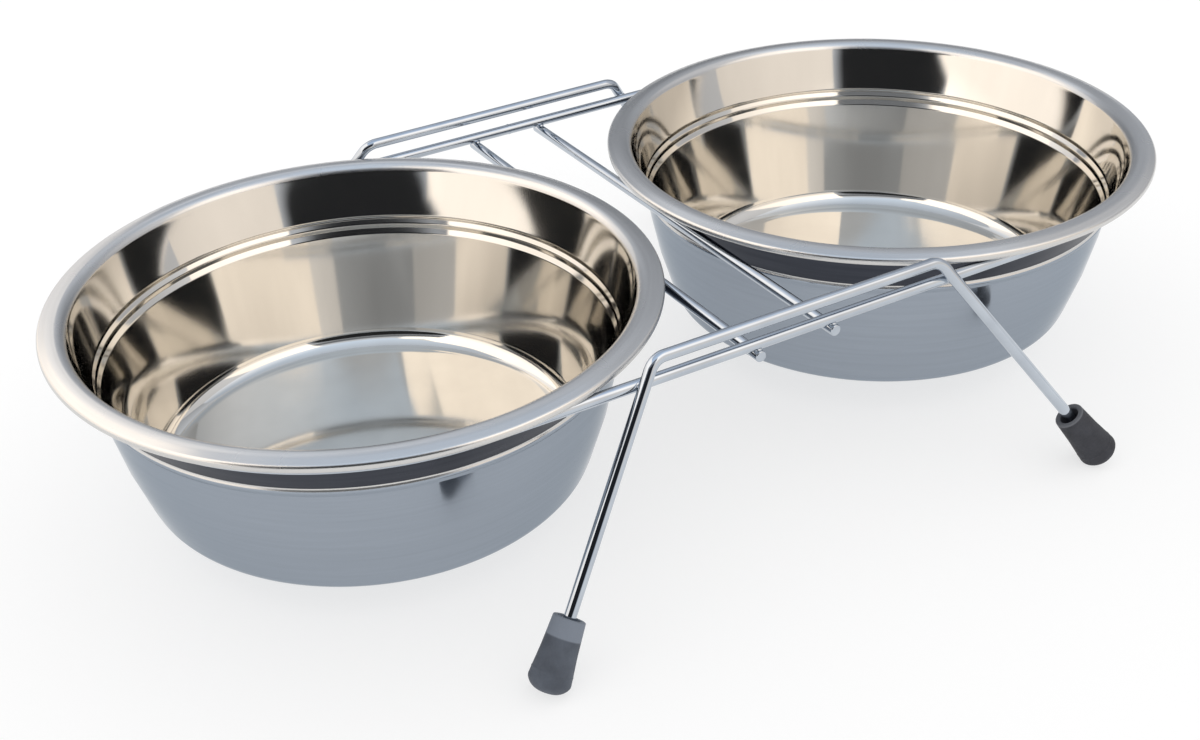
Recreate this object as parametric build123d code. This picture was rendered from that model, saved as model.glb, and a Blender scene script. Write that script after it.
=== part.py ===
from build123d import *
import os
from math import atan2, cos, radians, sin, sqrt, tan

# Double pet bowl: two pressed steel bowls that hang by their necks in a stand of welded wire.
# Millimetres, +Z up, +X from the left bowl to the right bowl, -Y the front.
# The origin is on the floor, under the middle of the stand.

# Bowl: heights are counted from the rim plane, which cuts the lip's edge
sheet_thickness = 0.7
bowl_depth = 67.3
lip_radius = 105.0
lip_gap = 13.0
lip_width = 7.5
lip_crown_width = 4.2
lip_rise = 1.6
lip_crown_drop = 0.1
lip_edge_drop = 1.1
hem_height = 1.4
hem_return = 1.6
upper_neck_height = 10.6
upper_neck_taper = 3.0
lower_neck_height = 8.1
lower_neck_taper = 3.2
bead_height = 1.3
bead_step = 0.6
ledge_height = 2.0
ledge_taper = 1.2
riser_height = 1.6
wall_taper = 11.5

# Bowl: radii of the bends, on the sheet's outer face
hem_round = 0.6
lip_crown_round = 9.0
shoulder_round = 3.2
neck_round = 60.0
waist_round = 0.8
bead_round = 1.2
ledge_round = 1.2
base_round = 8.5

# Stand: the wire, how deep one welded wire sinks into another, and where the loop and cross wires lie
wire_diameter = 4.0
weld_sink = 0.3
loop_height = 77.5
loop_drop = 4.1
loop_end_play = 0.8
seat_gap = 0.3
cross_wire_gap = 0.4
cross_wire_overhang = 2.6

# Leg frames: lean and splay are in degrees, and each frame is welded a little off the middle
top_run_length = 113.0
top_run_rise = 7.4
leg_bend_radius = 7.0
leg_lean = 19.2
leg_splay = 33.4
front_frame_shift = 2.1
rear_frame_shift = -5.7

# Rubber feet: a tapered moulding with a domed end, an open mouth, a bore for the leg and a worn flat
foot_length = 23.5
foot_top_diameter = 10.5
foot_bottom_diameter = 13.9
foot_bottom_round = 2.2
foot_dome_height = 3.4
foot_dome_round = 5.5
foot_tread_diameter = 9.6
foot_top_round = 0.5
foot_mouth_diameter = 7.4
foot_mouth_depth = 4.0
foot_bore_clearance = 0.03
foot_sole = 6.0
foot_flat_depth = 0.3

# Radii and heights of the bowl's corners, from the lip inwards and down
hem_radius = lip_radius - sheet_thickness
shoulder_radius = hem_radius - lip_width
neck_radius = shoulder_radius - upper_neck_taper
waist_radius = neck_radius - lower_neck_taper
bead_radius = waist_radius + bead_step
riser_radius = bead_radius - ledge_taper
wall_radius = riser_radius - ledge_taper
base_radius = wall_radius - wall_taper
edge_z = lip_rise - lip_edge_drop
hem_z = edge_z - hem_height
neck_z = lip_rise - upper_neck_height
waist_z = neck_z - lower_neck_height
bead_z = waist_z - bead_height
riser_top_z = bead_z - ledge_height
riser_foot_z = riser_top_z - riser_height
wall_z = riser_foot_z - ledge_height

# Where the bowls hang: side by side, with a gap between their lips
bowl_x = lip_radius + lip_gap / 2
rim_height = loop_height + loop_drop
wire_radius = wire_diameter / 2
neck_slant = atan2(upper_neck_taper, upper_neck_height)


def neck_reach(drop):
    """Distance from a bowl's axis to a wire on the cone of the upper neck, at a drop below the rim."""
    cone_radius = shoulder_radius - (lip_rise + drop) * upper_neck_taper / upper_neck_height
    return cone_radius + wire_radius / cos(neck_slant)


# The loop fits round the necks, and the cross wires run under it, just clear of the necks
loop_radius = neck_reach(loop_drop) + seat_gap
loop_arc_x = bowl_x + loop_end_play
weld_reach = wire_diameter - weld_sink
cross_wire_height = loop_height - weld_reach
cross_wire_x = bowl_x - neck_reach(loop_drop + weld_reach) - cross_wire_gap
cross_wire_half = loop_radius + cross_wire_overhang

# A leg frame lies in a plane that leans out and carries the loop's straight run on its inner side
lean = radians(leg_lean)
splay = radians(leg_splay)
frame_y = loop_radius + weld_reach * cos(lean)
frame_z = loop_height + weld_reach * sin(lean)
corner_x = top_run_length / 2
corner_z = frame_z + top_run_rise * cos(lean)

# A leg's axis runs to the end of its foot, whose dome meets the floor on the worn flat
tilt_cos = cos(splay) * cos(lean)
tilt_sin = sqrt(1 - tilt_cos**2)
foot_top_radius = foot_top_diameter / 2
foot_bottom_radius = foot_bottom_diameter / 2
foot_mouth_radius = foot_mouth_diameter / 2
foot_bore_radius = wire_radius + foot_bore_clearance
foot_tread_radius = foot_tread_diameter / 2
dome_slope = atan2(foot_dome_height, foot_bottom_radius - foot_tread_radius)
dome_start = foot_tread_radius - foot_dome_round * tan(dome_slope / 2)
foot_reach = foot_dome_round * (1 - tilt_cos) + dome_start * tilt_sin
leg_length = (corner_z - foot_reach + foot_flat_depth) / tilt_cos


def wire_along(path):
    """Round wire along a path of straight runs and arcs."""
    return sweep(Plane(origin=path @ 0, z_dir=path % 0) * Circle(wire_radius), path=path)


def bowl(centre_x):
    """Bowl of even sheet: the outline of its outer face, thickened inwards and turned about its axis."""
    outline = [
        (0, -bowl_depth),
        (base_radius, -bowl_depth),
        (wall_radius, wall_z),
        (riser_radius, riser_foot_z),
        (riser_radius, riser_top_z),
        (bead_radius, bead_z),
        (waist_radius, waist_z),
        (neck_radius, neck_z),
        (shoulder_radius, lip_rise),
        (shoulder_radius + lip_crown_width, lip_rise - lip_crown_drop),
        (hem_radius, edge_z),
        (hem_radius, hem_z),
        (hem_radius - hem_return, hem_z),
    ]
    rounds = [
        base_round,
        ledge_round,
        ledge_round,
        ledge_round,
        bead_round,
        waist_round,
        neck_round,
        shoulder_round,
        lip_crown_round,
        hem_round,
        hem_round,
    ]
    skin = FilletPolyline(*outline, radius=rounds)
    section = make_face(offset(skin, amount=sheet_thickness, side=Side.LEFT))
    return Pos(centre_x, 0, rim_height) * revolve(Plane.XZ * section, axis=Axis.Z)


def support_loop():
    """Closed loop of wire: two straight runs joined by a half circle round each bowl."""
    right_end = CenterArc((loop_arc_x, 0), loop_radius, -90, 180)
    left_end = CenterArc((-loop_arc_x, 0), loop_radius, 90, 180)
    front_run = Line(left_end @ 1, right_end @ 0)
    rear_run = Line(right_end @ 1, left_end @ 0)
    path = Wire([front_run, right_end, rear_run, left_end])
    return Pos(0, 0, loop_height) * wire_along(path)


def cross_wire(x):
    """Straight wire from front to back, under both runs of the loop."""
    return wire_along(Line((x, -cross_wire_half, cross_wire_height), (x, cross_wire_half, cross_wire_height)))


def frame_plane(side):
    """Plane of a leg frame: X along the top run, Y up the lean; side is -1 at the front and 1 at the rear."""
    up = Vector(0, -side * sin(lean), cos(lean))
    across = Vector(1, 0, 0)
    return Plane(origin=(0, side * frame_y, frame_z), x_dir=across, z_dir=across.cross(up))


def leg_point(hand, along, shift):
    """Point of a leg's axis in its frame's plane; hand is -1 for the left leg and 1 for the right."""
    return (hand * (corner_x + along * sin(splay)) + shift, top_run_rise - along * cos(splay))


def leg_frame(side, shift):
    """One bent wire: a top run with a splayed leg at each end, down to the bores of the feet."""
    wire_leg = leg_length - foot_sole
    corners = [
        leg_point(-1, wire_leg, shift),
        leg_point(-1, 0, shift),
        leg_point(1, 0, shift),
        leg_point(1, wire_leg, shift),
    ]
    return wire_along(frame_plane(side) * FilletPolyline(*corners, radius=leg_bend_radius))


def foot(side, hand, shift):
    """Tapered rubber foot on a leg's end, turned about the leg's axis and cut flat at the floor."""
    outline = [
        (0, 0),
        (foot_tread_radius, 0),
        (foot_bottom_radius, foot_dome_height),
        (foot_top_radius, foot_length),
        (foot_mouth_radius, foot_length),
        (foot_bore_radius, foot_length - foot_mouth_depth),
        (foot_bore_radius, foot_sole),
        (0, foot_sole),
    ]
    rounds = [0, foot_dome_round, foot_bottom_round, foot_top_round, 0, 0, 0, 0]
    section = make_face(FilletPolyline(*outline, radius=rounds, close=True))
    body = revolve(Plane.XZ * section, axis=Axis.Z)
    plane = frame_plane(side)
    bottom = plane.from_local_coords(leg_point(hand, leg_length, shift))
    corner = plane.from_local_coords(leg_point(hand, 0, shift))
    return split(Plane(origin=bottom, z_dir=corner - bottom) * body, bisect_by=Plane.XY, keep=Keep.TOP)


loop = support_loop()
pieces = {
    "left_bowl": bowl(-bowl_x),
    "right_bowl": bowl(bowl_x),
    "support_loop": loop,
    "left_cross_wire": cross_wire(-cross_wire_x) - loop,
    "right_cross_wire": cross_wire(cross_wire_x) - loop,
}
for end, side, shift in (("front", -1, front_frame_shift), ("rear", 1, rear_frame_shift)):
    pieces[f"{end}_leg_frame"] = leg_frame(side, shift) - loop
    for edge, hand in (("left", -1), ("right", 1)):
        pieces[f"{end}_{edge}_foot"] = foot(side, hand, shift)

os.makedirs("parts", exist_ok=True)
for name, piece in pieces.items():
    export_step(piece, f"parts/{name}.step")
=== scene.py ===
from math import atan2, cos, pi, radians, sin, sqrt, tan

import bpy
import numpy as np
from mathutils import Matrix, Vector


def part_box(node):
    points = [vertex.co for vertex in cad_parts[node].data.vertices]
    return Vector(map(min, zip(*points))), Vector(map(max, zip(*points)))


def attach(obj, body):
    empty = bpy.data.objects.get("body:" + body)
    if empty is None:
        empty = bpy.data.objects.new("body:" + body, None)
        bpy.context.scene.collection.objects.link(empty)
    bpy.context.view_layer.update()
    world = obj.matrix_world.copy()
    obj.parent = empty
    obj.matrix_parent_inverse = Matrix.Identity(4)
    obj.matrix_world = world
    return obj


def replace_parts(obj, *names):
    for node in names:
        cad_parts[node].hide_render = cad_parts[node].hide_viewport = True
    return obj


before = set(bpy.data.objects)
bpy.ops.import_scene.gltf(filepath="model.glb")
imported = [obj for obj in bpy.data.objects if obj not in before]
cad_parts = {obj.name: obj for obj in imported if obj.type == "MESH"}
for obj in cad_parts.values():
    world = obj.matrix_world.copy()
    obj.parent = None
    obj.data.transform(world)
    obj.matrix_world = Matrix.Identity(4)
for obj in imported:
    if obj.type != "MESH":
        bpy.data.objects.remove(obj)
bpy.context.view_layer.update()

# Double pet bowl in a white studio: surfaces worked out with numpy take the place of every CAD node.
# Metres, in the CAD's frame: +Z up, +X from the left bowl to the right bowl, -Y the front.
MM = 0.001

# Bowl: sizes of the pressing, with heights counted from the rim plane
sheet_thickness = 0.7 * MM
bowl_depth = 67.3 * MM
lip_width = 7.5 * MM
lip_crown_width = 4.2 * MM
lip_rise = 1.6 * MM
lip_crown_drop = 0.1 * MM
lip_edge_drop = 1.1 * MM
hem_height = 1.4 * MM
hem_return = 1.6 * MM
upper_neck_height = 10.6 * MM
upper_neck_taper = 3.0 * MM
lower_neck_height = 8.1 * MM
lower_neck_taper = 3.2 * MM
bead_height = 1.3 * MM
bead_step = 0.6 * MM
ledge_height = 2.0 * MM
ledge_taper = 1.2 * MM
riser_height = 1.6 * MM
wall_taper = 11.5 * MM

# Bowl: radii of the bends, on the sheet's outer face, and how far the outer wall's middle corner stands out
hem_round = 0.6 * MM
lip_crown_round = 9.0 * MM
shoulder_round = 3.2 * MM
neck_round = 150.0 * MM
waist_round = 0.8 * MM
bead_round = 1.2 * MM
ledge_round = 1.2 * MM
base_round = 8.5 * MM
wall_bow = 2.0 * MM
wall_bow_round = 200.0 * MM

# Bowl: its finishes, with painted shade on the outside of the neck, and the runs of its outlines at which
# one gives way to the next. A round counts as halfway between two runs: outside, the bead's is 3.5, the
# waist's 4.5 and the shoulder's 6.5; inside, the shoulder's is 7.5.
POLISHED, SATIN, BRUSHED, PAINTED_SHADE = range(4)
wall_end_run = 3.6
bead_end_run = 4.6
neck_end_run = 6.7
inside_end_run = 7.3

# Stand: how deep one welded wire sinks into another, the shape of a leg frame, and the sheared ends
weld_sink = 0.3 * MM
top_run_length = 113.0 * MM
top_run_rise = 7.4 * MM
leg_bend_radius = 7.0 * MM
leg_lean = radians(19.2)
leg_splay = radians(33.4)
wire_end_round = 0.5 * MM

# Foot: a tapered moulding with a domed end and an open mouth round the leg. Its side lies between two runs of
# its outline, those of the dome and of the mouth's edge.
foot_length = 23.5 * MM
foot_top_diameter = 10.5 * MM
foot_bottom_diameter = 13.9 * MM
foot_bottom_round = 2.2 * MM
foot_dome_height = 3.4 * MM
foot_dome_round = 5.5 * MM
foot_tread_diameter = 9.6 * MM
foot_top_round = 0.5 * MM
foot_mouth_diameter = 7.4 * MM
foot_mouth_depth = 4.0 * MM
foot_flat_depth = 0.3 * MM
foot_sole = 6.0 * MM
foot_waist_depth = 0.2 * MM
foot_waist_round = 30.0 * MM
foot_ridge_height = 6.5 * MM
foot_ridge_rise = 0.1 * MM
foot_ridge_width = 0.35 * MM
foot_run_step = 0.25 * MM
foot_dome_run = 1
foot_mouth_run = 4

# Welds: half sizes along, across and through a lump of weld metal, and the seam of the loop's two ends
cross_weld_half = (1.7 * MM, 1.7 * MM, 1.0 * MM)
leg_weld_half = (1.9 * MM, 1.6 * MM, 1.0 * MM)
weld_lump = 0.12
weld_lobes = 3
seam_half = 1.6 * MM
seam_width = 0.5 * MM
seam_rise = 0.09
seam_sink = 0.03

# Fineness of the meshes, the width under which a row of points counts as one point, and the UV map's name
bowl_columns = 320
wire_columns = 28
foot_columns = 64
weld_columns = 24
weld_rows = 13
loop_run_points = 61
loop_end_points = 73
rod_points = 81
seam_points = 25
hem_edge_points = 7
wire_end_rows = 5
outline_step = 2.5 * MM
arc_step = radians(5.0)
one_point = 1e-9
section_map = "around_and_along"


# Places, read from the frame
def middle(node):
    """Centre of a node's box."""
    low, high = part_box(node)
    return (low + high) / 2


bowl_low, bowl_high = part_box("right_bowl")
bowl_x = middle("right_bowl").x
lip_radius = (bowl_high.x - bowl_low.x) / 2
hem_radius = lip_radius - sheet_thickness
rim_height = bowl_low.z + bowl_depth
loop_low, loop_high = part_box("support_loop")
wire_radius = (loop_high.z - loop_low.z) / 2
loop_height = middle("support_loop").z
loop_radius = (loop_high.y - loop_low.y) / 2 - wire_radius
loop_arc_x = (loop_high.x - loop_low.x) / 2 - loop_radius - wire_radius
weld_reach = 2 * wire_radius - weld_sink
cross_wire_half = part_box("right_cross_wire")[1].y


def rounded_line(corners, rounds, step=outline_step):
    """Open outline with rounded corners: points, headings, arc lengths and numbers of the runs they are on.

    A round of radius r at a turn of angle t starts r tan(t / 2) before its corner. Along it the heading h
    grows evenly by t, and the point moves from the round's start by r (sin h - sin h0, cos h0 - cos h). A
    round between two runs counts as halfway between their numbers.
    """
    corners = np.array(corners)
    runs = np.diff(corners, axis=0)
    heading = np.arctan2(runs[:, 1], runs[:, 0])
    turn = (np.diff(heading) + pi) % (2 * pi) - pi
    reach = np.array(rounds) * np.tan(np.abs(turn) / 2)
    ways = np.stack([np.cos(heading), np.sin(heading)], axis=1)
    leaves = corners[:-1] + ways * np.append(0, reach)[:, None]
    arrives = corners[1:] - ways * np.append(reach, 0)[:, None]
    points, headings, numbers = [], [], []
    for i, way in enumerate(heading):
        spans = max(1, int(np.ceil(np.linalg.norm(arrives[i] - leaves[i]) / step)))
        share = np.linspace(0, 1, spans + 1)[:, None]
        points.append(leaves[i] + (arrives[i] - leaves[i]) * share)
        headings.append(np.full(spans + 1, way))
        numbers.append(np.full(spans + 1, float(i)))
        if i < len(turn):
            spans = max(2, int(np.ceil(abs(turn[i]) / arc_step)))
            along = way + turn[i] * np.linspace(0, 1, spans + 1)[1:-1]
            radius = np.sign(turn[i]) * rounds[i]
            moved = np.stack([np.sin(along) - sin(way), cos(way) - np.cos(along)], axis=1)
            points.append(arrives[i] + radius * moved)
            headings.append(along)
            numbers.append(np.full(spans - 1, i + 0.5))
    points, headings, numbers = [np.concatenate(part) for part in (points, headings, numbers)]
    steps = np.linalg.norm(np.diff(points, axis=0), axis=1)
    return points, headings, np.append(0, np.cumsum(steps)), numbers


def skin(name, grid, normals, lengths, wrap_rows=False, zones=None):
    """Mesh of a grid of points, rows by columns, whose last column joins the first.

    Each cell is a quad, or a triangle where a row has shrunk to one point. The normals are kept as given.
    The UV map has the share of a turn as U and the length along the section, in metres, as V. Zones number
    the material of each row of cells.
    """
    rows, columns = grid.shape[:2]
    index = np.arange(rows * columns).reshape(rows, columns)
    pole = np.ptp(grid, axis=1).max(axis=1) < one_point
    index[pole] = index[pole, :1]
    upper = np.roll(np.arange(rows), -1) if wrap_rows else np.arange(1, rows)
    lower = np.arange(rows) if wrap_rows else np.arange(rows - 1)
    column = np.arange(columns)
    beside = (column + 1) % columns
    cells = np.stack([index[lower][:, column], index[lower][:, beside],
                      index[upper][:, beside], index[upper][:, column]], axis=-1)
    turns = np.stack([column, column + 1, column + 1, column], axis=-1) / columns
    reach = np.append(lengths, lengths[-1])
    along = np.stack([reach[lower], reach[lower], reach[lower + 1], reach[lower + 1]], axis=-1)
    uv = np.stack(np.broadcast_arrays(turns[None], along[:, None]), axis=-1)
    shrunk_low, shrunk_high = pole[lower], pole[upper]
    whole = ~(shrunk_low | shrunk_high)
    corners = [cells[whole].reshape(-1, 4), cells[shrunk_low][..., [0, 2, 3]].reshape(-1, 3),
               cells[shrunk_high][..., [0, 1, 2]].reshape(-1, 3)]
    maps = [uv[whole].reshape(-1, 2), uv[shrunk_low][..., [0, 2, 3], :].reshape(-1, 2),
            uv[shrunk_high][..., [0, 1, 2], :].reshape(-1, 2)]
    used, renumbered = np.unique(np.concatenate([c.ravel() for c in corners]), return_inverse=True)
    faces, taken = [], 0
    for part in corners:
        faces += renumbered[taken:taken + part.size].reshape(part.shape).tolist()
        taken += part.size
    mesh = bpy.data.meshes.new(name)
    mesh.from_pydata(grid.reshape(-1, 3)[used], [], faces)
    layer = mesh.uv_layers.new(name=section_map)
    layer.data.foreach_set("uv", np.concatenate(maps).astype(np.float32).ravel())
    if zones is not None:
        order = np.concatenate([zones[whole], zones[shrunk_low], zones[shrunk_high]])
        mesh.polygons.foreach_set("material_index", np.repeat(order, columns).astype(np.int32))
    mesh.shade_smooth()
    mesh.normals_split_custom_set_from_vertices(normals.reshape(-1, 3)[used])
    piece = bpy.data.objects.new(name, mesh)
    bpy.context.scene.collection.objects.link(piece)
    return piece


def turned(points, facing, columns):
    """Surface turned about Z: a section's (radius, height) points and normals, carried round a circle."""
    angle = np.linspace(0, 2 * pi, columns, endpoint=False)
    around = np.stack([np.cos(angle), np.sin(angle), np.zeros(columns)], axis=1)
    up = np.array([0, 0, 1])
    grid = points[:, 0, None, None] * around + points[:, 1, None, None] * up
    normals = facing[:, 0, None, None] * around + facing[:, 1, None, None] * up
    return grid, normals


# The section's zones are the bowl's finishes, and painted shade on the outside of the neck
def bowl_section():
    """Closed section of the sheet, as (radius, height) points, with its normals, lengths and zones.

    The outer face runs from the base to the hem, a half circle goes round the hem's edge, and the inner
    face runs back. Both faces are outlines with rounded corners. The inner one has two ledges and is moved
    by the sheet's thickness along its left-hand normal. The outer one has one ledge and a wall that bows out.
    """
    shoulder = hem_radius - lip_width
    neck = shoulder - upper_neck_taper
    waist = neck - lower_neck_taper
    bead = waist + bead_step
    riser = bead - ledge_taper
    wall = riser - ledge_taper
    neck_z = lip_rise - upper_neck_height
    waist_z = neck_z - lower_neck_height
    bead_z = waist_z - bead_height
    riser_top = bead_z - ledge_height
    riser_z = riser_top - riser_height
    edge_z = lip_rise - lip_edge_drop
    hem_z = edge_z - hem_height
    base = [(0, -bowl_depth), (wall - wall_taper, -bowl_depth)]
    ledges = [(wall, riser_z - ledge_height), (riser, riser_z)]
    bow = [((wall - wall_taper + riser) / 2 + wall_bow, (riser_top - bowl_depth) / 2)]
    upper = [
        (riser, riser_top),
        (bead, bead_z),
        (waist, waist_z),
        (neck, neck_z),
        (shoulder, lip_rise),
        (shoulder + lip_crown_width, lip_rise - lip_crown_drop),
        (hem_radius, edge_z),
        (hem_radius, hem_z),
        (hem_radius - hem_return, hem_z),
    ]
    upper_rounds = [ledge_round, bead_round, waist_round, neck_round, shoulder_round, lip_crown_round]
    upper_rounds += [hem_round, hem_round]
    inner_rounds = [base_round, ledge_round, ledge_round] + upper_rounds
    inner, heading, inner_length, inner_number = rounded_line(base + ledges + upper, inner_rounds)
    inner_left = np.stack([-np.sin(heading), np.cos(heading)], axis=1)
    inner = inner + sheet_thickness * inner_left
    outer_rounds = [base_round, wall_bow_round] + upper_rounds
    outer, heading, length, number = rounded_line(base + bow + upper, outer_rounds)
    left = np.stack([-np.sin(heading), np.cos(heading)], axis=1)
    swing = np.linspace(-pi / 2, pi / 2, hem_edge_points)[1:-1, None]
    ahead = np.array([cos(heading[-1]), sin(heading[-1])])
    round_edge = np.cos(swing) * ahead + np.sin(swing) * left[-1]
    edge = (outer[-1] + inner[-1]) / 2 + sheet_thickness / 2 * round_edge
    points = np.concatenate([outer, edge, inner[::-1]])
    facing = np.concatenate([-left, round_edge, inner_left[::-1]])
    points[[0, -1], 0] = 0
    lengths = np.concatenate([length, np.full(len(edge), length[-1]), inner_length[::-1]])
    run = (number[1:] + number[:-1]) / 2
    ends = [run < wall_end_run, run < bead_end_run, run < neck_end_run]
    # Outside: brushed up to the bead, satin on the bead's step, painted shade over the neck, satin on the lip
    outside = np.select(ends, [BRUSHED, SATIN, PAINTED_SHADE], SATIN)
    inner_run = (inner_number[1:] + inner_number[:-1]) / 2
    inside = np.where(inner_run < inside_end_run, POLISHED, SATIN)
    zones = np.concatenate([outside, np.full(len(edge) + 1, SATIN), inside[::-1]])
    return points, facing, lengths, zones


def feeding_bowl(hand, centre_x):
    """One bowl: its section turned about its own axis."""
    points, facing, lengths, zones = bowl_section()
    grid, normals = turned(points, facing, bowl_columns)
    grid = grid + np.array([centre_x, 0, rim_height])
    piece = skin(f"{hand}_feeding_bowl", grid, normals, lengths, zones=zones)
    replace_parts(piece, f"{hand}_bowl")
    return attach(piece, f"{hand}_bowl")


def wire(name, points, ways, flat, closed=False, swell=None):
    """Round wire along a flat path: a circle in the plane of the path's normal and its side direction.

    Open ends are sheared square, with a rounded edge. A swell scales the wire's radius along the path.
    """
    points, ways = np.array(points), np.array(ways)
    radius = wire_radius * (np.ones(len(points)) if swell is None else swell)
    angle = np.linspace(0, 2 * pi, wire_columns, endpoint=False)
    side = np.cross(flat, ways)
    ring = np.cos(angle)[None, :, None] * side[:, None] + np.sin(angle)[None, :, None] * np.array(flat)
    grid = points[:, None] + radius[:, None, None] * ring
    steps = np.linalg.norm(np.diff(points, axis=0), axis=1)
    lengths = np.append(0, np.cumsum(steps))
    if not closed:
        swing = np.linspace(0, pi / 2, wire_end_rows)[:, None, None]
        core = wire_radius - wire_end_round
        for row, way in ((0, -ways[0]), (-1, ways[-1])):
            rim = ring[row] * np.sin(swing[:-1]) + way * np.cos(swing[:-1])
            base = points[row] - way * wire_end_round
            cap = base + core * ring[row] + wire_end_round * rim
            dot = np.broadcast_to(points[row], (1,) + ring[row].shape)
            face = np.broadcast_to(way, (1,) + ring[row].shape)
            grid[row] = base + wire_radius * ring[row]
            if row == 0:
                grid = np.concatenate([dot, cap, grid])
                ring = np.concatenate([face, rim, ring])
            else:
                grid = np.concatenate([grid, cap[::-1], dot])
                ring = np.concatenate([ring, rim[::-1], face])
        lengths = np.concatenate([np.zeros(wire_end_rows), lengths, np.full(wire_end_rows, lengths[-1])])
    piece = skin(name, grid, ring, lengths, wrap_rows=closed)
    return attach(piece, "stand")


def support_loop():
    """Closed loop: two straight runs and two half circles, in one level plane."""
    ahead = np.array([loop_arc_x, 0, 0])
    across = np.array([0, loop_radius, 0])
    run = np.linspace(-1, 1, loop_run_points)[1:-1, None] * ahead
    turn = np.linspace(-pi / 2, pi / 2, loop_end_points)
    arc = np.stack([np.cos(turn), np.sin(turn), 0 * turn], axis=1)
    arc_way = np.stack([-np.sin(turn), np.cos(turn), 0 * turn], axis=1)
    along = np.broadcast_to([1.0, 0, 0], run.shape)
    bend = loop_radius * arc
    points = np.concatenate([run - across, ahead + bend, -run + across, -ahead - bend])
    ways = np.concatenate([along, arc_way, -along, -arc_way])
    piece = wire("support_loop_wire", points + np.array([0, 0, loop_height]), ways, (0, 0, 1), closed=True)
    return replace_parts(piece, "support_loop")


def cross_wire(hand):
    """Straight wire from front to back, welded under both runs of the loop."""
    node = f"{hand}_cross_wire"
    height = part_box(node)[0].z + wire_radius
    y = np.linspace(-cross_wire_half, cross_wire_half, rod_points)
    points = np.stack([np.full(rod_points, middle(node).x), y, np.full(rod_points, height)], axis=1)
    piece = wire(f"{hand}_cross_wire_rod", points, np.broadcast_to([0.0, 1, 0], points.shape), (0, 0, 1))
    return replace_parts(piece, node)


# A leg frame lies in a plane that leans out and carries the loop's straight run on its inner side
frame_y = loop_radius + weld_reach * cos(leg_lean)
frame_z = loop_height + weld_reach * sin(leg_lean)
corner_z = frame_z + top_run_rise * cos(leg_lean)
tilt_cos = cos(leg_splay) * cos(leg_lean)
tilt_sin = sqrt(1 - tilt_cos**2)
foot_bottom_radius = foot_bottom_diameter / 2
foot_top_radius = foot_top_diameter / 2
foot_tread_radius = foot_tread_diameter / 2
dome_slope = atan2(foot_dome_height, foot_bottom_radius - foot_tread_radius)
dome_start = foot_tread_radius - foot_dome_round * tan(dome_slope / 2)
foot_reach = foot_dome_round * (1 - tilt_cos) + dome_start * tilt_sin
leg_length = (corner_z - foot_reach + foot_flat_depth) / tilt_cos


def frame_axes(side):
    """Origin of a leg frame's plane, and its axes along the top run and up the lean.

    Side is -1 in front and 1 behind.
    """
    shift = middle(f"{'front' if side < 0 else 'rear'}_leg_frame").x
    origin = np.array([shift, side * frame_y, frame_z])
    return origin, np.array([1.0, 0, 0]), np.array([0, -side * sin(leg_lean), cos(leg_lean)])


def leg_point(hand, along):
    """Point of a leg's axis in its frame's plane, a length along from the bend's corner."""
    return hand * (top_run_length / 2 + along * sin(leg_splay)), top_run_rise - along * cos(leg_splay)


def leg_frame(end, side):
    """One bent wire: a top run with a splayed leg at each end, down to the soles of the feet."""
    wire_leg = leg_length - foot_sole
    corners = [leg_point(-1, wire_leg), leg_point(-1, 0), leg_point(1, 0), leg_point(1, wire_leg)]
    flat, heading, _, _ = rounded_line(corners, [leg_bend_radius, leg_bend_radius])
    origin, across, up = frame_axes(side)
    points = origin + flat[:, :1] * across + flat[:, 1:] * up
    ways = np.cos(heading)[:, None] * across + np.sin(heading)[:, None] * up
    piece = wire(f"{end}_leg_wire", points, ways, np.cross(across, up))
    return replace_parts(piece, f"{end}_leg_frame")


def rubber_foot(end, side, edge, hand):
    """Tapered foot turned about its leg's axis, with what would be under the floor pressed flat.

    The side is drawn in a little at half height, and a low parting ridge with a bell-shaped section runs
    round it. V of the UV map is the height along the foot's axis.
    """
    waist = (foot_bottom_radius + foot_top_radius) / 2 - foot_waist_depth
    outline = [(0, 0), (foot_tread_radius, 0), (foot_bottom_radius, foot_dome_height),
               (waist, (foot_length + foot_dome_height) / 2), (foot_top_radius, foot_length),
               (foot_mouth_diameter / 2, foot_length), (wire_radius, foot_length - foot_mouth_depth),
               (0, foot_length - foot_mouth_depth)]
    rounds = [foot_dome_round, foot_bottom_round, foot_waist_round, foot_top_round, foot_top_round, 0]
    points, heading, _, number = rounded_line(outline, rounds, foot_run_step)
    points[[0, -1], 0] = 0
    from_ridge = (points[:, 1] - foot_ridge_height) / foot_ridge_width
    on_side = (number > foot_dome_run) & (number < foot_mouth_run)
    points[:, 0] += on_side * foot_ridge_rise * np.exp(-from_ridge**2)
    facing = np.stack([np.sin(heading), -np.cos(heading)], axis=1)
    facing[:, 1] += on_side * 2 * foot_ridge_rise / foot_ridge_width * from_ridge * np.exp(-from_ridge**2)
    facing /= np.linalg.norm(facing, axis=1)[:, None]
    grid, normals = turned(points, facing, foot_columns)
    origin, across, up = frame_axes(side)
    low, high = [origin + x * across + y * up for x, y in (leg_point(hand, leg_length), leg_point(hand, 0))]
    axis = (high - low) / np.linalg.norm(high - low)
    sideways = np.cross(axis, across)
    sideways /= np.linalg.norm(sideways)
    axes = np.stack([np.cross(sideways, axis), sideways, axis])
    grid = grid @ axes + low
    grid[..., 2] = np.maximum(grid[..., 2], 0)
    piece = skin(f"{end}_{edge}_rubber_foot", grid, normals @ axes, points[:, 1])
    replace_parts(piece, f"{end}_{edge}_foot")
    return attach(piece, "stand")


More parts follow.
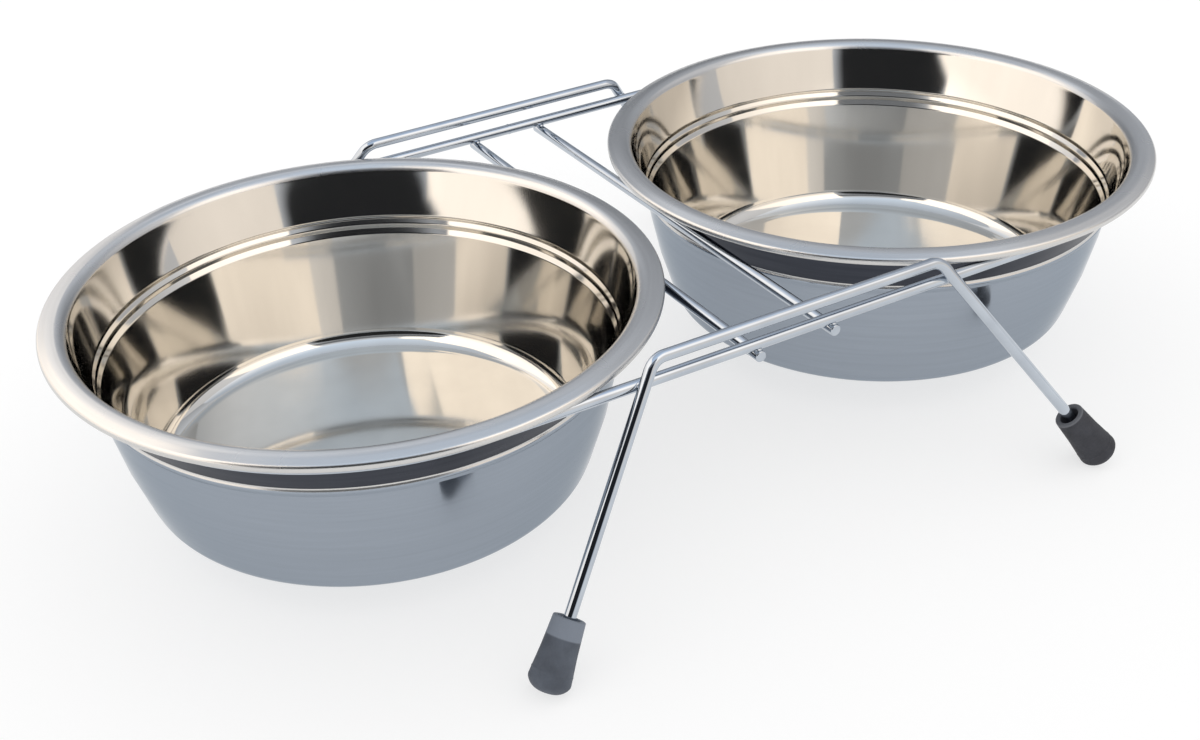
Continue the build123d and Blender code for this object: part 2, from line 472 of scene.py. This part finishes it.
def weld(name, centre, along, across, half_sizes):
    """Lump of weld metal: an ellipsoid whose radius swells by a share of sin(n a) cos(b).

    The angles are a, round the lump, and b, above its middle, and n is the number of lobes.
    """
    along, across = np.array(along), np.array(across)
    axes = np.stack([along, across, np.cross(along, across)])
    tilt = np.linspace(-pi / 2, pi / 2, weld_rows)[:, None, None]
    angle = np.linspace(0, 2 * pi, weld_columns, endpoint=False)[None, :, None]
    parts = np.cos(tilt) * np.cos(angle), np.cos(tilt) * np.sin(angle), np.sin(tilt)
    ball = np.concatenate(np.broadcast_arrays(*parts), axis=2)
    lump = 1 + weld_lump * np.sin(weld_lobes * angle) * np.cos(tilt)
    grid = centre + (ball * lump * np.array(half_sizes)) @ axes
    normals = (ball / np.array(half_sizes)) @ axes
    normals /= np.linalg.norm(normals, axis=2)[..., None]
    piece = skin(name, grid, normals, tilt.ravel() * half_sizes[2])
    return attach(piece, "stand")


def welds():
    """Welds where the loop meets the cross wires and the legs, and the swollen seam of the loop's two ends.

    The seam's radius swells above the wire's as a bell curve along it, from just under the wire's surface.
    """
    pieces = []
    for end, side in (("front", -1), ("rear", 1)):
        origin, across, up = frame_axes(side)
        for edge, hand in (("left", -1), ("right", 1)):
            cross_x = middle(f"{edge}_cross_wire").x
            cross = np.array([cross_x, side * loop_radius, loop_height - weld_reach / 2])
            pieces.append(weld(f"{end}_{edge}_cross_weld", cross, (1, 0, 0), (0, 1, 0), cross_weld_half))
            leg_x, _ = leg_point(hand, top_run_rise / cos(leg_splay))
            on_loop = np.array([origin[0] + leg_x, side * loop_radius, loop_height])
            between = (origin + leg_x * across + on_loop) / 2
            along_lean = np.cross(np.cross(across, up), across)
            pieces.append(weld(f"{end}_{edge}_leg_weld", between, across, along_lean, leg_weld_half))
    x = np.linspace(-seam_half, seam_half, seam_points)
    points = np.stack([x, np.full(seam_points, loop_radius), np.full(seam_points, loop_height)], axis=1)
    swell = 1 - seam_sink + (seam_rise + seam_sink) * np.exp(-(x / seam_width) ** 2)
    ways = np.broadcast_to([1.0, 0, 0], points.shape)
    pieces.append(wire("loop_butt_seam", points, ways, (0, 0, 1), swell=swell))
    return pieces


bowls = [feeding_bowl("left", -bowl_x), feeding_bowl("right", bowl_x)]
wires = [support_loop(), cross_wire("left"), cross_wire("right")]
feet = []
for end, side in (("front", -1), ("rear", 1)):
    wires.append(leg_frame(end, side))
    for edge, hand in (("left", -1), ("right", 1)):
        feet.append(rubber_foot(end, side, edge, hand))
wires += welds()


# Materials
def linear(colour):
    """Linear RGBA of an sRGB hex colour."""
    parts = np.array([int(colour[i:i + 2], 16) for i in (1, 3, 5)]) / 255
    values = np.where(parts <= 0.04045, parts / 12.92, ((parts + 0.055) / 1.055) ** 2.4)
    return (*values.tolist(), 1.0)


def add(tree, kind, settings=None, links=None):
    """Adds a node: settings are properties or socket values, and links are outputs that feed its sockets."""
    node = tree.nodes.new(kind)
    for name, value in (settings or {}).items():
        if isinstance(name, int) or name in node.inputs:
            node.inputs[name].default_value = value
        else:
            setattr(node, name, value)
    for name, source in (links or {}).items():
        tree.links.new(source, node.inputs[name])
    return node


def surface(tree, settings, links=None):
    """Adds the main shader, with its settings and links, and the material's output."""
    shader = add(tree, "ShaderNodeBsdfPrincipled", settings, links)
    add(tree, "ShaderNodeOutputMaterial", links={"Surface": shader.outputs["BSDF"]})


def new_material(name):
    """New material and its tree, still without nodes."""
    material = bpy.data.materials.new(name)
    material.use_nodes = True
    material.node_tree.nodes.clear()
    return material, material.node_tree


# Patterns: the lines of brushing are finer than a pixel, so they are drawn at about a millimetre. A pattern
# is its spacing along a section and its length round the turn.
line_pattern = (1.5 * MM, 45.0 * MM)
smear_pattern = (160.0 * MM, 16.0 * MM)
line_detail = 3.0
smudge_size = 28.0 * MM
smudge_detail = 3.0
wave_size = 45.0 * MM
polished_wave = 0.04 * MM
brushed_wave = 0.03 * MM
faint_wave = 0.01 * MM
peel_size = 2.2 * MM
peel_depth = 0.004 * MM
patch_size = 14.0 * MM
rubber_sheen = 0.35
rubber_roughness = {"To Min": 0.6, "To Max": 0.8}
rubber_grain_size = 0.7 * MM
rubber_grain_detail = 3.0
rubber_grain_depth = 0.05 * MM
rubber_bloom_size = 6.0 * MM
narrow_top_band = 0.6 * MM
wide_top_band = 6.2 * MM
band_blur = 0.25 * MM

# The middle of a noise, which is stretched over a range, the quarter turn that draws gloss out along a
# section, and the sockets of a Mix node that mixes colours
noise_middle = {"From Min": 0.3, "From Max": 0.7}
along_section = 0.25
mix_share, mix_first, mix_second, mix_result = 0, 6, 7, 2


def lines_round(tree, spacing, length):
    """Noise drawn out round a turned piece: a spacing along its section, and a length round the turn."""
    place = add(tree, "ShaderNodeTexCoord").outputs["Object"]
    split = add(tree, "ShaderNodeSeparateXYZ", links={"Vector": place}).outputs
    flat = add(tree, "ShaderNodeUVMap", {"uv_map": section_map}).outputs["UV"]
    along = add(tree, "ShaderNodeSeparateXYZ", links={"Vector": flat}).outputs["Y"]
    joined = add(tree, "ShaderNodeCombineXYZ", links={"X": split["X"], "Y": split["Y"], "Z": along})
    sizes = {"Scale": (1 / length, 1 / length, 1 / spacing)}
    drawn = add(tree, "ShaderNodeMapping", sizes, {"Vector": joined.outputs["Vector"]}).outputs["Vector"]
    detail = {"Scale": 1.0, "Detail": line_detail}
    return add(tree, "ShaderNodeTexNoise", detail, {"Vector": drawn}).outputs["Fac"]


def worked_steel(name, dark, pale, smooth, rough, pattern, wave_depth, drawn, edge="#ffffff"):
    """Stainless steel with lines of work or streaks along its section, smudges in its gloss, and waves of the
    pressing.

    Its gloss is drawn out along the section, and the edge colour tints what it mirrors at a grazing angle.
    """
    material, tree = new_material(name)
    place = {"Vector": add(tree, "ShaderNodeTexCoord").outputs["Object"]}
    lines = {"Value": lines_round(tree, *pattern)}
    work = add(tree, "ShaderNodeMapRange", noise_middle, lines).outputs["Result"]
    shades = {"data_type": "RGBA", mix_first: linear(dark), mix_second: linear(pale)}
    smudge = {"Scale": 1 / smudge_size, "Detail": smudge_detail}
    smudges = {"Value": add(tree, "ShaderNodeTexNoise", smudge, place).outputs["Fac"]}
    dullness = {**noise_middle, "To Min": smooth, "To Max": rough}
    waves = add(tree, "ShaderNodeTexNoise", {"Scale": 1 / wave_size, "Detail": 0.0}, place)
    bump = {"Strength": 1.0, "Distance": wave_depth}
    tangent = add(tree, "ShaderNodeTangent", {"direction_type": "UV_MAP", "uv_map": section_map})
    surface(tree, {
        "Metallic": 1.0,
        "Specular Tint": linear(edge),
        "Anisotropic": drawn,
        "Anisotropic Rotation": along_section,
    }, {
        "Base Color": add(tree, "ShaderNodeMix", shades, {mix_share: work}).outputs[mix_result],
        "Roughness": add(tree, "ShaderNodeMapRange", dullness, smudges).outputs["Result"],
        "Normal": add(tree, "ShaderNodeBump", bump, {"Height": waves.outputs["Fac"]}).outputs["Normal"],
        "Tangent": tangent.outputs["Tangent"],
    })
    return material


def chrome_plate(name, dark, pale, smooth, rough):
    """Chrome over drawn wire: an even blue-white gloss, with a slight peel and dull patches."""
    material, tree = new_material(name)
    place = {"Vector": add(tree, "ShaderNodeTexCoord").outputs["Object"]}
    peel = add(tree, "ShaderNodeTexNoise", {"Scale": 1 / peel_size}, place)
    bump = {"Strength": 1.0, "Distance": peel_depth}
    patches = {"Value": add(tree, "ShaderNodeTexNoise", {"Scale": 1 / patch_size}, place).outputs["Fac"]}
    patchy = add(tree, "ShaderNodeMapRange", noise_middle, patches).outputs["Result"]
    shades = {"data_type": "RGBA", mix_first: linear(dark), mix_second: linear(pale)}
    dullness = {**noise_middle, "To Min": smooth, "To Max": rough}
    surface(tree, {"Metallic": 1.0}, {
        "Base Color": add(tree, "ShaderNodeMix", shades, {mix_share: patchy}).outputs[mix_result],
        "Roughness": add(tree, "ShaderNodeMapRange", dullness, patches).outputs["Result"],
        "Normal": add(tree, "ShaderNodeBump", bump, {"Height": peel.outputs["Fac"]}).outputs["Normal"],
    })
    return material


def moulded_rubber(name, dark, pale, band, band_length):
    """Matt rubber with a fine grain and a bloom, and a band of another colour at its top."""
    material, tree = new_material(name)
    place = {"Vector": add(tree, "ShaderNodeTexCoord").outputs["Object"]}
    flat = add(tree, "ShaderNodeUVMap", {"uv_map": section_map}).outputs["UV"]
    height = add(tree, "ShaderNodeSeparateXYZ", links={"Vector": flat}).outputs["Y"]
    start = foot_length - band_length
    ends = {"From Min": start - band_blur, "From Max": start + band_blur}
    top = add(tree, "ShaderNodeMapRange", ends, {"Value": height}).outputs["Result"]
    grit = {"Scale": 1 / rubber_grain_size, "Detail": rubber_grain_detail}
    grain = add(tree, "ShaderNodeTexNoise", grit, place).outputs["Fac"]
    bump = {"Strength": 1.0, "Distance": rubber_grain_depth}
    bloom = add(tree, "ShaderNodeTexNoise", {"Scale": 1 / rubber_bloom_size}, place).outputs["Fac"]
    bloomed = add(tree, "ShaderNodeMapRange", noise_middle, {"Value": bloom}).outputs["Result"]
    shades = {"data_type": "RGBA", mix_first: linear(dark), mix_second: linear(pale)}
    body = add(tree, "ShaderNodeMix", shades, {mix_share: bloomed}).outputs[mix_result]
    banded = {"data_type": "RGBA", mix_second: linear(band)}
    under_band = {mix_share: top, mix_first: body}
    dullness = {**noise_middle, **rubber_roughness}
    surface(tree, {"Specular IOR Level": rubber_sheen}, {
        "Base Color": add(tree, "ShaderNodeMix", banded, under_band).outputs[mix_result],
        "Roughness": add(tree, "ShaderNodeMapRange", dullness, {"Value": grain}).outputs["Result"],
        "Normal": add(tree, "ShaderNodeBump", bump, {"Height": grain}).outputs["Normal"],
    })
    return material


# Mirror-polished stainless steel: clear reflections that bend a little with the pressing. Its colour is the
# steel's grey tinted warm: a painted warm reflection of the warm light it mirrors.
polished = worked_steel(
    "mirror_polished_stainless_steel", dark="#d2cfc9", pale="#d7d4ce", smooth=0.05, rough=0.09,
    pattern=smear_pattern, wave_depth=polished_wave, drawn=0.5,
)
# Satin stainless steel: a soft even grey sheen on the lip and a bright line on the bead
satin = worked_steel(
    "satin_stainless_steel", dark="#cbcac8", pale="#d1d0ce", smooth=0.22, rough=0.3,
    pattern=line_pattern, wave_depth=faint_wave, drawn=0.6,
)
# Brushed stainless steel: faint lines round the wall, and reflections smeared up and down it.
# Its colour and edge tint are the steel's made darker and bluer: painted shade and a painted cool
# reflection, in place of the shadowed floor that the wall mirrors.
brushed = worked_steel(
    "brushed_stainless_steel", dark="#979fa9", pale="#9ba3ad", smooth=0.09, rough=0.14,
    pattern=line_pattern, wave_depth=brushed_wave, drawn=0.8, edge="#dde1e5",
)
# Stainless steel painted dark on the outside of the neck: painted shade, in place of the shadowed floor under
# the bowl that the neck mirrors, with a weak sheen
pressed = worked_steel(
    "stainless_steel_painted_with_shade", dark="#393c44", pale="#40434b", smooth=0.26, rough=0.36,
    pattern=line_pattern, wave_depth=faint_wave, drawn=0.4,
)
# Bright chrome plate: hard bright and dark streaks along the wire
chrome = chrome_plate("bright_chrome_plate", dark="#b2b9c2", pale="#bec5cd", smooth=0.03, rough=0.07)
# Moulded rubber: matt and nearly black, with a paler band round the top of its mouth
rubber = moulded_rubber(
    "matt_moulded_rubber", dark="#303136", pale="#3c3d43", band="#66686d", band_length=narrow_top_band,
)
# The same rubber painted paler for the front left foot: painted light, as that foot faces the light. It has a
# paler band at its top.
painted_lit_rubber = moulded_rubber(
    "moulded_rubber_painted_lit", dark="#484d56", pale="#565c66", band="#787f8a", band_length=wide_top_band,
)
# Material slots follow the zones; the fourth, pressed, is the steel painted with shade
for piece in bowls:
    for material in (polished, satin, brushed, pressed):
        piece.data.materials.append(material)
for piece in wires:
    piece.data.materials.append(chrome)
# The front left foot takes the rubber painted paler, as painted light
for piece in feet:
    piece.data.materials.append(painted_lit_rubber if piece.name.startswith("front_left") else rubber)


# Floor, light and camera
def stage_mesh(name, points, faces, material):
    """A piece of the studio, not of the object."""
    mesh = bpy.data.meshes.new(name)
    mesh.from_pydata(points, [], faces)
    mesh.materials.append(material)
    piece = bpy.data.objects.new(name, mesh)
    bpy.context.scene.collection.objects.link(piece)
    return piece


# White acrylic sheet, lit a little from below: white, with a soft pale shadow
floor_half = 8.0
floor_corners = [(-floor_half, -floor_half, 0), (floor_half, -floor_half, 0),
                 (floor_half, floor_half, 0), (-floor_half, floor_half, 0)]
floor_paint, floor_tree = new_material("backlit_white_acrylic")
surface(floor_tree, {
    "Base Color": linear("#9c9c9c"),
    "Roughness": 0.9,
    "Emission Color": linear("#ffffff"),
    "Emission Strength": 0.67,
})
stage_mesh("studio_floor", floor_corners, [(0, 1, 2, 3)], floor_paint)

# Reflector cards: posts and heights in millimetres
card_post_front = (-28, -488)
card_post_front_right = (230, -406)
card_post_right = (496, -322)
card_post_back_right = (740, 190)
card_post_back_middle = (330, 512)
card_post_back = (-58, 630)
card_post_back_left = (-300, 610)
card_post_left = (-720, -190)
card_tiers = (90, 260, 400, 520, 620, 1250)

# Side cards: two posts, the brightness at both of them when low, high and at the top, and the warmth
side_cards = [
    (card_post_front, card_post_front_right, (1.15, 1.15), (2.0, 1.9), (2.0, 1.9), 1.0),
    (card_post_front_right, card_post_right, (1.15, 1.0), (1.9, 1.6), (1.9, 1.6), 1.0),
    (card_post_right, card_post_back_right, (0.8, 0.65), (1.05, 0.85), (1.05, 0.9), 0.3),
    (card_post_back_right, card_post_back_middle, (0.65, 0.35), (0.62, 0.56), (0.6, 0.9), 0.0),
    (card_post_back_middle, card_post_back, (0.35, 0.6), (0.56, 0.8), (0.9, 1.4), 0.0),
    (card_post_back, card_post_back_left, (1.1, 1.3), (1.3, 1.55), (1.3, 1.6), 0.5),
    (card_post_back_left, card_post_left, (1.5, 1.6), (1.85, 2.0), (1.85, 2.0), 1.0),
]

# The camera's card: its curtain's brightness by height, the dark opening in it, and the share of the card's
# width, by height, that carries on the left card
camera_card_columns, camera_card_rows = 61, 81
curtain_heights = (90, 440, 500, 650, 760)
curtain_levels = (1.0, 1.0, 0.28, 0.28, 1.0)
opening_middle = 275
opening_half = 185
opening_end_share = 0.98
opening_power = 4
opening_blur = 0.2
opening_level = 0.03
edge_heights = (190, 330, 700, 760)
edge_shares = (0.24, 0.01, 0.01, 0.32)

# Roof: its corners from the front left on, with the brightness and warmth of each
roof_corners = [(-450, -700, 950), (900, -700, 950), (900, 800, 950), (-450, 800, 950)]
roof_levels = (1.6, 2.25, 0.5, 0.8)
roof_warmth = (-0.6, 0.3, 0.0, 0.0)
cool_light = "#e2e8f2"
warm_light = "#fff6ed"


def side_card_grid():
    """Points, faces, brightness and warmth of the side cards, each of which runs from one post to the next.

    The brightness has one level over the two lowest tiers, a second over the next two and a third over the
    last two, and changes evenly between them and between the posts.
    """
    starts, stops, low, high, top, warm = [np.array(column) for column in zip(*side_cards)]
    levels = np.stack([low, low, high, high, top, top], axis=1)
    places = np.broadcast_to(np.stack([starts, stops], axis=1)[:, None], levels.shape + (2,))
    heights = np.broadcast_to(np.array(card_tiers)[None, :, None], levels.shape)
    points = np.concatenate([places, heights[..., None]], axis=3)
    index = np.arange(levels.size).reshape(levels.shape)
    faces = np.stack([index[:, :-1, 0], index[:, :-1, 1], index[:, 1:, 1], index[:, 1:, 0]], axis=-1)
    return points, faces, levels, np.broadcast_to(warm[:, None, None], levels.shape)


def camera_card_grid():
    """Points, faces, brightness and warmth of the camera's card, from the left post to the front one.

    The brightness falls from the curtain's to the opening's across the edge of an oval, on which the
    distances from its middle, as shares of its half sizes and raised to a power, add up to one. The oval's
    left edge slants with height, and left of it the card carries on the last side card.
    """
    heights = np.linspace(card_tiers[0], card_tiers[-1], camera_card_rows)
    along, height = np.meshgrid(np.linspace(0, 1, camera_card_columns), heights)
    first, last = np.array(card_post_left), np.array(card_post_front)
    points = np.concatenate([first + along[..., None] * (last - first), height[..., None]], axis=2)
    edge = np.interp(height, edge_heights, edge_shares)
    across = np.abs(2 * along - opening_end_share - edge) / (opening_end_share - edge)
    upward = np.abs(height - opening_middle) / opening_half
    oval = (across**opening_power + upward**opening_power) ** (1 / opening_power)
    outside = np.clip((oval - 1) / opening_blur + 0.5, 0, 1)
    carries_on = along < edge
    _, _, low, high, top, warm = side_cards[-1]
    left_levels = np.interp(height, card_tiers, np.repeat([low[1], high[1], top[1]], 2))
    curtain = np.where(carries_on, left_levels, np.interp(height, curtain_heights, curtain_levels))
    levels = opening_level + outside * (curtain - opening_level)
    index = np.arange(along.size).reshape(along.shape)
    faces = np.stack([index[:-1, :-1], index[:-1, 1:], index[1:, 1:], index[1:, :-1]], axis=-1)
    return points, faces, levels, np.where(carries_on, warm, 0)


def reflector_cards():
    """Cards that only the object's gloss sees: bright sides, a grey back, the camera's card and a roof.

    A card's light is a blend of the cool and the warm light, by its warmth, times its brightness.
    """
    roof = np.array(roof_corners), np.arange(len(roof_corners)), np.array(roof_levels), np.array(roof_warmth)
    points, faces, levels, warmth, taken = [], [], [], [], 0
    for card_points, card_faces, card_levels, card_warmth in (side_card_grid(), camera_card_grid(), roof):
        points.append(card_points.reshape(-1, 3) * MM)
        faces += (card_faces.reshape(-1, 4) + taken).tolist()
        levels.append(card_levels.ravel())
        warmth.append(card_warmth.ravel())
        taken += card_levels.size
    points, levels, warmth = [np.concatenate(part) for part in (points, levels, warmth)]
    warm_part = warmth[:, None] * np.array(linear(warm_light))
    tint = warm_part + (1 - warmth[:, None]) * np.array(linear(cool_light))
    tint[:, :3] *= levels[:, None]
    material, tree = new_material("reflector_card")
    material.cycles.emission_sampling = "NONE"
    glow = add(tree, "ShaderNodeAttribute", {"attribute_name": "glow"}).outputs["Color"]
    light = add(tree, "ShaderNodeEmission", {"Strength": 1.0}, {"Color": glow}).outputs["Emission"]
    add(tree, "ShaderNodeOutputMaterial", links={"Surface": light})
    cards = stage_mesh("reflector_cards", points, faces, material)
    colours = cards.data.attributes.new("glow", "FLOAT_COLOR", "POINT")
    colours.data.foreach_set("color", tint.astype(np.float32).ravel())
    cards.visible_camera = False
    cards.visible_diffuse = False
    cards.visible_shadow = False


reflector_cards()

# Even white light from all sides
world = bpy.data.worlds.new("studio")
bpy.context.scene.world = world
world.use_nodes = True
world.node_tree.nodes["Background"].inputs["Color"].default_value = (1, 1, 1, 1)
world.node_tree.nodes["Background"].inputs["Strength"].default_value = 1.0

# Camera at the photo's angle, solved from the outlines of both lips: the photo's size and the middle of its
# lens in pixels, and the camera's turn and place
photo_width, photo_height = 1200, 740
sensor_width = 36.0
camera_azimuth = radians(-27.947)
camera_elevation = radians(29.756)
camera_roll = radians(2.804)
focal_pixels = 1661.1
principal_column, principal_row = 543.5, 308.4
camera_place = Vector((-286.3 * MM, -465.4 * MM, rim_height + 271.1 * MM))

level = cos(camera_elevation)
ahead = Vector((-sin(camera_azimuth) * level, cos(camera_azimuth) * level, -sin(camera_elevation)))
right = Vector((cos(camera_azimuth), sin(camera_azimuth), 0))
below = ahead.cross(right)
right_rolled = cos(camera_roll) * right + sin(camera_roll) * below
up_rolled = sin(camera_roll) * right - cos(camera_roll) * below
lens = bpy.data.cameras.new("photo_camera")
lens.sensor_width = sensor_width
lens.lens = focal_pixels * sensor_width / photo_width
lens.shift_x = (photo_width / 2 - principal_column) / photo_width
lens.shift_y = (principal_row - photo_height / 2) / photo_width
camera = bpy.data.objects.new("photo_camera", lens)
turn = Matrix((right_rolled, up_rolled, -ahead)).transposed().to_4x4()
camera.matrix_world = Matrix.Translation(camera_place) @ turn
bpy.context.scene.collection.objects.link(camera)
bpy.context.scene.camera = camera
bpy.context.scene.view_settings.view_transform = "Standard"
